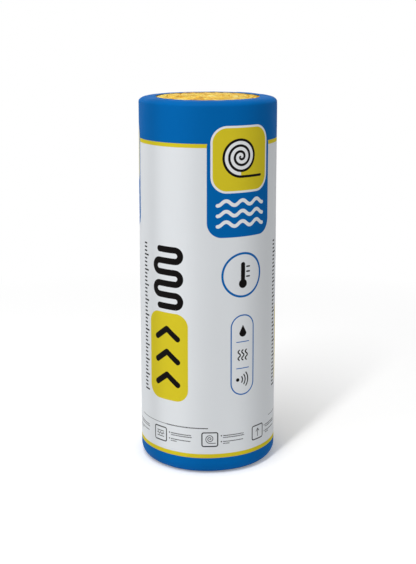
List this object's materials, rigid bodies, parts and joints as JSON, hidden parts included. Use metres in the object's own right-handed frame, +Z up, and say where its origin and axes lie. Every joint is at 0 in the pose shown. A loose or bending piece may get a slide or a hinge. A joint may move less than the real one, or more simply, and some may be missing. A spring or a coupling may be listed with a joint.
{
  "type": "insulation roll",
  "caption": "Upright roll of glass wool blanket, wound on itself and held by a printed film sleeve that folds over both ends.",
  "frame": {"origin": "on the roll's axis, at the level that it stands on", "axes": "+Z up along the roll's axis; -Y is the side that faces the camera"},
  "size_m": [0.448, 0.4479, 1.2],
  "materials": {
    "film": "satin",
    "wool": "matte"
  },
  "bodies": {
    "root": {"film_sleeve": "film", "wool_blanket_roll": "wool"}
  },
  "joints": []
}
